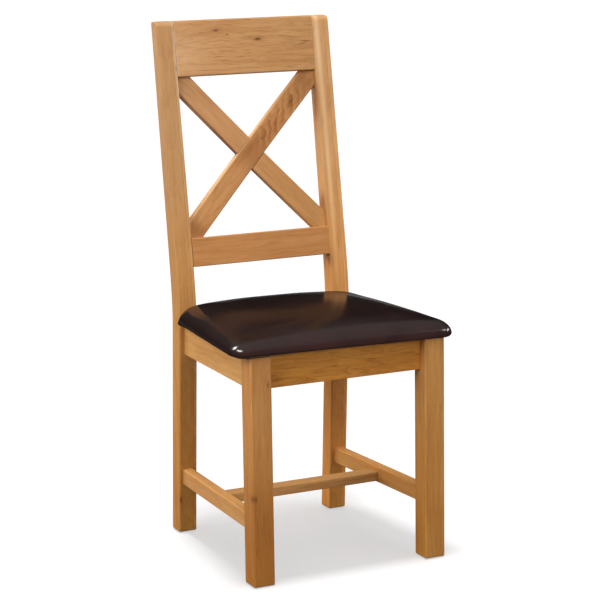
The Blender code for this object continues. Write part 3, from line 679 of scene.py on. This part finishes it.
# Seat pad: leather drawn over foam, turned under the board
coverLow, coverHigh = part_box("seat_cover")
pad = {
    "frontHalf": 0.2408,
    "rearHalf": 0.2110,
    "cornerRound": 0.032,
    "drawIn": 0.003,
    "edgeHeight": 0.0310,
    "crown": 0.0180,         # before the foam swells it
    "crownAt": 0.6,
    "crownFront": 0.25,
    "crownRear": 0.75,
    "sideFront": 3.0,        # how full the crown stays towards its sides
    "sideRear": 5.5,
    "leftSlip": 0.0157,      # the pad lies further out on the left
    "slipOver": 0.12,
    "rearTilt": 0.012,       # and fuller behind on the left
    "lowerRoll": 0.008,
    "rearRoll": 0.003,
    "rearFrom": 0.80,        # share of the depth where the lower edge starts to flatten
    "rearOver": 0.20,
    "rearOut": 0.0135,       # how far the turned-under edge reaches on to the rear rail
    "rearSpan": 0.157,
    "rearEase": 0.030,
    "lowerTilt": 0.004,
    "lowerLift": 0.001,
    "upperRoll": 0.028,
    "hem": 0.045,
    "hemRows": (0.018, 0.025, 0.035),
    "thick": 0.002,
    "cells": 64,             # along each side of the crown
    "arcSteps": 12,
    "rollSteps": 9,
    "lowSteps": 4,
    "swell": 0.005,          # most that a point may move in the simulation
    "foam": {"quality": 6, "mass": 0.3, "stiff": 18.0, "bend": 2.0, "pressure": 4.0, "frames": 20},
    "smoothing": 60,
    "smoothShare": 0.6,
    "evening": 24,
    "eveningWeights": (0.5, -0.53),
    "fill": 0.85,
}
leather = {
    "brown": (0.0128, 0.0058, 0.0052),
    "deep": (0.0086, 0.0041, 0.0038),
    "rubbed": (0.0180, 0.0100, 0.0085),
    "roughness": 0.50,
    "rougher": {"cloud": 0.05, "rub": 0.04, "crease": 0.08},
    "shine": 0.01,
    "coat": 0.26,
    "coatRubbed": 0.05,      # what the rubbing takes away
    "coatFront": 0.10,       # more in front, up to these depths
    "frontDepths": (0.012, 0.06),
    "coatUnder": 0.15,       # matt under the edge, below these heights
    "underHeights": (0.006, 0.019),
    "coatPolished": 0.65,    # on spots rubbed shiny, above these heights
    "polishHeights": (0.018, 0.028),
    "polished": (((0.095, -0.020), 0.070), ((-0.205, 0.085), 0.065)),
    "coatRoughness": 0.15,
    "grainScale": 780.0,
    "creaseWidth": 0.16,
    "pebble": {"scale": 0.5, "smooth": 0.8},
    "sway": {"stretch": (300.0, 300.0, 300.0), "shift": (0.0, 0.0, 0.0)},
    "swayReach": (0.0012, 0.0012, 0.0012),
    "cloud": {"stretch": (14.0, 14.0, 14.0), "shift": (2.0, 5.0, 1.0), "detail": 3.0, "between": (0.3, 0.7)},
    "rub": {"stretch": (45.0, 45.0, 45.0), "shift": (7.0, 1.0, 3.0), "detail": 3.0, "between": (0.45, 0.75)},
    "shares": {"rub": 0.5, "crease": 0.35},
    "edgeRound": 0.006,
    "heights": {"crease": 0.7, "pebble": 0.6},
    "bump": 0.12,
    "bumpDepth": 0.0004,
}


def clamp(value, least=0.0):
    return max(least, min(1.0, value))


def roundCorner(before, corner, after, radius, steps):
    back, ahead = (before - corner).normalized(), (after - corner).normalized()
    half = back.angle(ahead) / 2
    centre = corner + (back + ahead).normalized() * radius / math.sin(half)
    start = corner + back * radius / math.tan(half)
    sweep = math.pi - 2 * half
    return [centre + Matrix.Rotation(sweep * step / steps, 2) @ (start - centre) for step in range(steps + 1)]


def padShare(y):
    return clamp((y - coverLow.y) / (coverHigh.y - coverLow.y))


def leftSlip(y):
    return pad["leftSlip"] * (1 - padShare(y) ** 3)


def padOutline(inset, rearOut=0.0):
    # pad["cells"] points on each side, the corner arcs shared between neighbours
    front, rear = coverLow.y + inset, coverHigh.y - inset
    slope = (pad["frontHalf"] - pad["rearHalf"]) / (coverHigh.y - coverLow.y)

    def halfWidth(depth):
        return pad["frontHalf"] - slope * (depth - coverLow.y) - inset * math.hypot(1.0, slope)

    corners = [Vector((-halfWidth(front), front)), Vector((halfWidth(front), front)),
               Vector((halfWidth(rear), rear)), Vector((-halfWidth(rear), rear))]
    radius = max(pad["cornerRound"] - inset, pad["lowerRoll"])
    arcSteps = pad["arcSteps"]
    runSteps = pad["cells"] - arcSteps
    arcs = [roundCorner(corners[k - 1], corners[k], corners[(k + 1) % 4], radius, arcSteps) for k in range(4)]
    points = []
    for k in range(4):
        start, end = arcs[k][-1], arcs[(k + 1) % 4][0]
        run = end - start
        inward = Vector((-run.y, run.x)).normalized()
        points += arcs[k][arcSteps // 2:]
        for step in range(1, runSteps):
            share = step / runSteps
            dip = pad["drawIn"] * math.sin(math.pi * share) if k % 2 else 0.0
            points.append(start + run * share + inward * dip)
        points += arcs[(k + 1) % 4][:arcSteps // 2]
    for point in points:
        if point.x < 0:
            point.x -= leftSlip(point.y) * min(1.0, -point.x / pad["slipOver"]) ** 2
    for point in points[2 * pad["cells"]:3 * pad["cells"] + 1]:
        # between the posts the turned-under edge lies on the rear rail
        near = clamp((pad["rearSpan"] - abs(point.x)) / pad["rearEase"])
        point.y += rearOut * near * near * (3 - 2 * near)
    return points


def spreadEvenly(points):
    # the same outline, its points evenly spaced along each side
    cells = pad["cells"]
    even = []
    for side in range(4):
        run = [points[(side * cells + k) % len(points)] for k in range(cells + 1)]
        reach = [0.0]
        for first, last in zip(run, run[1:]):
            reach.append(reach[-1] + (last - first).length)
        for k in range(cells):
            want = reach[-1] * k / cells
            at = max(j for j in range(cells) if reach[j] <= want)
            even.append(run[at].lerp(run[at + 1], (want - reach[at]) / (reach[at + 1] - reach[at])))
    return even


def padTop(point):
    share = padShare(point.y)
    half = pad["frontHalf"] + (pad["rearHalf"] - pad["frontHalf"]) * share
    if point.x < 0:
        half += leftSlip(point.y)
    fullness = pad["sideFront"] + (pad["sideRear"] - pad["sideFront"]) * share
    sideways = max(0.0, 1 - abs(point.x / half) ** fullness)
    if share < pad["crownAt"]:
        lengthwise = 1 - (1 - pad["crownFront"]) * (1 - share / pad["crownAt"]) ** 2
    else:
        lengthwise = 1 - (1 - pad["crownRear"]) * ((share - pad["crownAt"]) / (1 - pad["crownAt"])) ** 2
    tilt = -pad["rearTilt"] * point.x * share ** 2
    return coverLow.z + pad["edgeHeight"] + pad["crown"] * sideways * lengthwise + tilt


def padSheet():
    cells = pad["cells"]
    edge, top = padOutline(0.0, pad["rearOut"]), spreadEvenly(padOutline(pad["upperRoll"]))
    shape = bmesh.new()
    grid = {}
    ring = [None] * (4 * cells)
    frontLeft, frontRight, rearRight, rearLeft = top[0], top[cells], top[2 * cells], top[3 * cells]
    for row in range(cells + 1):
        for column in range(cells + 1):
            # blended between the four sides
            u, v = column / cells, row / cells
            point = (top[column].lerp(top[3 * cells - column], v) + top[-row].lerp(top[cells + row], u)
                     - frontLeft.lerp(frontRight, u).lerp(rearLeft.lerp(rearRight, u), v))
            grid[column, row] = shape.verts.new((point.x, point.y, padTop(point)))
    for k in range(cells):
        ring[k], ring[cells + k] = grid[k, 0], grid[cells, k]
        ring[2 * cells + k], ring[3 * cells + k] = grid[cells - k, cells], grid[0, cells - k]
    for row in range(cells):
        for column in range(cells):
            corners = ((column, row), (column + 1, row), (column + 1, row + 1), (column, row + 1))
            shape.faces.new([grid[corner] for corner in corners])

    def skirt(points):
        nonlocal ring
        row = [shape.verts.new(point) for point in points]
        for k in range(len(row)):
            ahead = (k + 1) % len(row)
            shape.faces.new([ring[k], row[k], row[ahead], ring[ahead]])
        ring = row

    def lowerEdge(point):
        # how round the lower edge is and how high it lies:
        # lifted on the left, hanging on the right, flat on the rear rail
        behind = clamp((padShare(point.y) - pad["rearFrom"]) / pad["rearOver"])
        sideways = clamp(-point.x / pad["frontHalf"], -1.0)
        roll = pad["lowerRoll"] + (pad["rearRoll"] - pad["lowerRoll"]) * behind
        return roll, coverLow.z + roll + (pad["lowerTilt"] * sideways + pad["lowerLift"]) * (1 - behind)

    rollSteps, lowSteps = pad["rollSteps"], pad["lowSteps"]
    for step in range(rollSteps - 1, -1, -1):
        angle = math.pi / 2 * step / rollSteps
        share = 1 - math.cos(angle)
        points = []
        for edgePoint, topPoint in zip(edge, top):
            place = edgePoint.lerp(topPoint, share)
            side = lowerEdge(edgePoint)[1]
            points.append((place.x, place.y, side + (padTop(place) - side) * math.sin(angle)))
        skirt(points)
    heldFrom = len(shape.verts) - len(ring)      # the edge itself and all that is turned under
    for step in range(1, lowSteps + 1):
        angle = math.pi / 2 * step / lowSteps
        points = []
        for point in padOutline(pad["lowerRoll"] * (1 - math.cos(angle)), pad["rearOut"]):
            roll, side = lowerEdge(point)
            points.append((point.x, point.y, side - roll * math.sin(angle)))
        skirt(points)
    for inset in (*pad["hemRows"], pad["hem"]):
        skirt([(p.x, p.y, coverLow.z) for p in padOutline(inset, pad["rearOut"])])
    shape.verts.index_update()
    held = list(range(heldFrom, len(shape.verts)))
    shape.normal_update()
    mesh = bpy.data.meshes.new("seatPad")
    shape.to_mesh(mesh)
    shape.free()
    return mesh, held


def swell(piece, held):
    # foam pushes the leather up and out, held at the turned-under edge
    start = [vert.co.copy() for vert in piece.data.vertices]
    group = piece.vertex_groups.new(name="held")
    group.add(held, 1.0, "REPLACE")
    foam = pad["foam"]
    cloth = piece.modifiers.new("swell", "CLOTH")
    settings = cloth.settings
    settings.quality = foam["quality"]
    settings.mass = foam["mass"]
    settings.tension_stiffness = settings.compression_stiffness = foam["stiff"]
    settings.bending_stiffness = foam["bend"]
    settings.use_pressure = True
    settings.uniform_pressure_force = foam["pressure"]
    settings.vertex_group_mass = "held"
    settings.effector_weights.gravity = 0.0
    cloth.collision_settings.use_collision = False
    cloth.point_cache.frame_start, cloth.point_cache.frame_end = 1, foam["frames"]
    for step in range(1, foam["frames"] + 1):
        scene.frame_set(step)
    shown = piece.evaluated_get(bpy.context.evaluated_depsgraph_get())
    moved = [vert.co.copy() for vert in shown.data.vertices]
    piece.modifiers.remove(cloth)
    scene.frame_set(1)
    travels = []
    for before, after in zip(start, moved):
        # a soft limit: small moves pass, long ones bend over towards the cap
        travel = after - before
        reach = pad["swell"] * math.tanh(travel.length / pad["swell"])
        travels.append(travel.normalized() * reach)
    most = max((after - before).length for before, after in zip(start, moved))
    near = [[] for _ in start]
    for edge in piece.data.edges:
        first, last = edge.vertices
        near[first].append(last)
        near[last].append(first)
    for index in held:
        near[index] = None
    taken = pad["smoothShare"]
    for _ in range(pad["smoothing"]):
        # the foam evens the pull out
        travels = [travel * (1 - taken) + sum((travels[k] for k in ring), Vector()) * (taken / len(ring))
                   if ring else Vector() for travel, ring in zip(travels, near)]
    places = [before + travel for before, travel in zip(start, travels)]
    for weight in pad["eveningWeights"] * pad["evening"]:
        # in and out by turns, so that creases go and the size stays
        places = [spot.lerp(sum((places[k] for k in ring), Vector()) / len(ring), weight) if ring else spot
                  for spot, ring in zip(places, near)]
    for vert, spot in zip(piece.data.vertices, places):
        vert.co = spot
    piece.vertex_groups.clear()
    print("pad swelled, free travel up to", round(most * 1000, 1), "mm")


def leatherFinish():
    material, tree = newMaterial("brownLeather")
    place = objectPlace(tree)
    x, y, z = place.axis("X"), place.axis("Y"), place.axis("Z")
    sway = grain(place, leather["sway"]).other("Color").vector("MULTIPLY", leather["swayReach"])
    bent = place.vector("ADD", sway)
    scale = leather["grainScale"]
    cells = tree.add("ShaderNodeTexVoronoi", {"feature": "DISTANCE_TO_EDGE"}, {"Vector": bent, "Scale": scale})
    crease = cells.step(0.0, leather["creaseWidth"])
    pebble = tree.add("ShaderNodeTexVoronoi", {"feature": "SMOOTH_F1"},
                      {"Vector": bent, "Scale": scale * leather["pebble"]["scale"],
                       "Smoothness": leather["pebble"]["smooth"]})
    cloud, rub = layer(place, leather["cloud"]), layer(place, leather["rub"])
    edge = edgeMask(tree, leather["edgeRound"])
    shares, rougher, heights = leather["shares"], leather["rougher"], leather["heights"]
    tint = cloud.mix(leather["deep"], leather["brown"])
    tint = (edge * rub * shares["rub"]).mix(tint, leather["rubbed"])
    tint = ((1.0 - crease) * shares["crease"]).mix(tint, leather["deep"])
    front = [coverLow.y + depth for depth in leather["frontDepths"]]
    under = [coverLow.z + height for height in leather["underHeights"]]
    above = [coverLow.z + height for height in leather["polishHeights"]]
    coat = leather["coat"] - rub * leather["coatRubbed"] + y.step(*front, leather["coatFront"], 0.0)
    coat = coat * z.step(*under, leather["coatUnder"], 1.0)
    onTop = z.step(*above, 0.0, leather["coatPolished"])
    for (spotX, spotY), reach in leather["polished"]:
        away, off = (x - spotX) / reach, (y - spotY) / reach
        coat = coat + (away * away + off * off).bell() * onTop
    roughness = (leather["roughness"] + cloud * rougher["cloud"] + rub * rougher["rub"]
                 + (1.0 - crease) * rougher["crease"])
    bump = relief(tree, leather, crease * heights["crease"] + pebble * heights["pebble"])
    surface(tree, {"Base Color": tint, "Roughness": roughness, "Specular IOR Level": leather["shine"],
                   "Normal": bump, "Coat Weight": coat, "Coat Roughness": leather["coatRoughness"]})
    return material


def makePad():
    mesh, held = padSheet()
    piece = addObject("seatPad", mesh)
    swell(piece, held)
    for face in mesh.polygons:
        face.use_smooth = True
    wall = piece.modifiers.new("thickness", "SOLIDIFY")
    wall.thickness = pad["thick"]
    wall.offset = -1.0
    finer = piece.modifiers.new("finer", "SUBSURF")
    finer.levels = finer.render_levels = 1
    mesh.materials.append(leatherFinish())
    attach(piece, "root")
    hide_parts("seat_cover", "seat_foam")
    return piece


seatPad = makePad()
frontFrame = [nodes[name] for name in ("front_seat_rail", "front_leg_left", "front_leg_right")]
targets = {
    "pad": ("INCLUDE", [seatPad]),
    "front": ("INCLUDE", frontFrame),
    "frame": ("EXCLUDE", [seatPad]),
    "wood": ("EXCLUDE", [seatPad, paleFloor]),
    "object": ("EXCLUDE", [paleFloor]),
    "behind": ("EXCLUDE", [paleFloor, *frontFrame]),
}
for lit, target in lampTargets:
    state, pieces = targets[target]
    for piece in pieces:
        lit.objects.link(piece)
    for entry in lit.collection_objects:
        entry.light_linking.link_state = state
print("seat pad made")


# A piece made of what repeats: build places the instances in a node tree of these inputs
def grow(name, mesh, inputs, material, build):
    tree = bpy.data.node_groups.new(name, "GeometryNodeTree")
    tree.interface.new_socket(name="Geometry", in_out="INPUT", socket_type="NodeSocketGeometry")
    sockets = {}
    for title, value in inputs.items():
        kind = "NodeSocketInt" if isinstance(value, int) else "NodeSocketFloat"
        sockets[title] = tree.interface.new_socket(name=title, in_out="INPUT", socket_type=kind)
    tree.interface.new_socket(name="Geometry", in_out="OUTPUT", socket_type="NodeSocketGeometry")
    wire = Wire(tree)
    entry = wire.add("NodeGroupInput")
    placed = build(wire, {title: entry.other(title) for title in ("Geometry", *inputs)})
    whole = wire.add("GeometryNodeRealizeInstances", None, {"Geometry": placed})
    done = wire.add("GeometryNodeSetMaterial", None, {"Geometry": whole, "Material": material})
    wire.add("NodeGroupOutput", None, {"Geometry": done})
    source = addObject(name + "_source", mesh)
    modifier = source.modifiers.new("tree", "NODES")
    modifier.node_group = tree
    for title, value in inputs.items():
        modifier[sockets[title].identifier] = value
    shown = source.evaluated_get(bpy.context.evaluated_depsgraph_get())
    made = bpy.data.meshes.new_from_object(shown)
    made.name = name
    bpy.data.objects.remove(source)
    return addObject(name, made)


def shifted(wire, shape, by):
    return wire.add("GeometryNodeTransform", None, {"Geometry": shape, "Translation": by})


# Staples that hold the hem to the board
staple = {"Spacing": 0.022, "Width": 0.010, "Leg": 0.006, "Wire": 0.00045, "Askew": 0.14, "Seed": 4}
staplePlace = {"fromHem": 0.010, "sunk": 0.0002}


def placeStaples(wire, value):
    right, leg = value["Width"] * 0.5, value["Leg"]
    left = 0.0 - right
    bent = wire.add("GeometryNodeCurvePrimitiveQuadrilateral", {"mode": "POINTS"},
                    {"Point 1": wire.join(left, 0.0, leg), "Point 2": wire.join(left),
                     "Point 3": wire.join(right), "Point 4": wire.join(right, 0.0, leg)})
    opened = wire.add("GeometryNodeSetSplineCyclic", None, {"Geometry": bent, "Cyclic": False})
    eased = wire.add("GeometryNodeFilletCurve", {"mode": "POLY"},
                     {"Curve": opened, "Radius": value["Wire"] * 2.0, "Count": 3})
    ring = wire.add("GeometryNodeCurvePrimitiveCircle", None, {"Resolution": 6, "Radius": value["Wire"]})
    bar = wire.add("GeometryNodeCurveToMesh", None, {"Curve": eased, "Profile Curve": ring, "Fill Caps": True})
    path = wire.add("GeometryNodeMeshToCurve", None, {"Mesh": value["Geometry"]})
    spaced = wire.add("GeometryNodeResampleCurve", {"mode": "LENGTH"}, {"Curve": path, "Length": value["Spacing"]})
    run = wire.add("GeometryNodeInputTangent")
    facing = wire.add("FunctionNodeAlignRotationToVector", {"axis": "X", "pivot_axis": "Z"}, {"Vector": run})
    skew = wire.add("FunctionNodeRandomValue", {"data_type": "FLOAT"},
                    {"Min": 0.0 - value["Askew"], "Max": value["Askew"], "Seed": value["Seed"]}, 1)
    twist = wire.add("FunctionNodeAxisAngleToRotation", None, {"Axis": (0.0, 0.0, 1.0), "Angle": skew})
    turned = wire.add("FunctionNodeRotateRotation", {"rotation_space": "LOCAL"},
                      {"Rotation": facing, "Rotate By": twist})
    return wire.add("GeometryNodeInstanceOnPoints", None, {"Points": spaced, "Instance": bar, "Rotation": turned})


def makeStaples():
    points = padOutline(pad["hem"] - staplePlace["fromHem"], pad["rearOut"])
    height = coverLow.z + staple["Wire"] - staplePlace["sunk"]
    mesh = bpy.data.meshes.new("hemPath")
    count = len(points)
    mesh.from_pydata([(p.x, p.y, height) for p in points], [(k, (k + 1) % count) for k in range(count)], [])
    piece = grow("hemStaples", mesh, staple, steelMade, placeStaples)
    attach(piece, "root")


makeStaples()
print("staples made")

# Pan head screws with a cross recess, in place of the plain ones
screw = {"Head": 0.0042, "HeadHeight": 0.0033, "Shank": 0.0019, "Length": 0.0526,
         "SlotWidth": 0.0011, "SlotLength": 0.0046, "SlotDepth": 0.0014}
screwSteps = {"around": 24, "rings": 12, "shank": 16}
cutSide = 0.02    # of the block that takes the dome's upper half away


def placeScrews(wire, value):
    dome = wire.add("GeometryNodeMeshUVSphere", None,
                    {"Segments": screwSteps["around"], "Rings": screwSteps["rings"], "Radius": 1.0})
    lift = wire.join(value["Head"], value["Head"], value["HeadHeight"])
    flat = wire.add("GeometryNodeTransform", None, {"Geometry": dome, "Scale": lift})
    block = wire.add("GeometryNodeMeshCube", None, {"Size": (cutSide, cutSide, cutSide)})
    cutters = [shifted(wire, block, (0.0, 0.0, cutSide / 2))]
    down = wire.join(z=0.0 - value["HeadHeight"])
    for sides in (("SlotLength", "SlotWidth"), ("SlotWidth", "SlotLength")):
        size = wire.join(*[value[side] for side in sides], value["SlotDepth"] * 2.0)
        cutters.append(shifted(wire, wire.add("GeometryNodeMeshCube", None, {"Size": size}), down))
    head = wire.add("GeometryNodeMeshBoolean", {"operation": "DIFFERENCE"}, {"Mesh 1": flat})
    for cutter in cutters:
        wire.tree.links.new(cutter.socket, head.socket.node.inputs["Mesh 2"])
    shank = wire.add("GeometryNodeMeshCylinder", None,
                     {"Vertices": screwSteps["shank"], "Radius": value["Shank"], "Depth": value["Length"]})
    both = wire.add("GeometryNodeJoinGeometry")
    for part in (head, shifted(wire, shank, wire.join(z=value["Length"] * 0.5))):
        wire.tree.links.new(part.socket, both.socket.node.inputs[0])
    points = wire.add("GeometryNodeMeshToPoints", None, {"Mesh": value["Geometry"]})
    return wire.add("GeometryNodeInstanceOnPoints", None, {"Points": points, "Instance": both})


def makeScrews():
    names = sorted(name for name in nodes if name.startswith("seat_screw_"))
    spots = []
    for name in names:
        low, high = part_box(name)
        spots.append(((low.x + high.x) / 2, (low.y + high.y) / 2, low.z + screw["HeadHeight"]))
    mesh = bpy.data.meshes.new("screwSpots")
    mesh.from_pydata(spots, [], [])
    piece = grow("seatScrews", mesh, screw, steelMade, placeScrews)
    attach(piece, "root")
    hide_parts(*names)


makeScrews()
print("screws made")
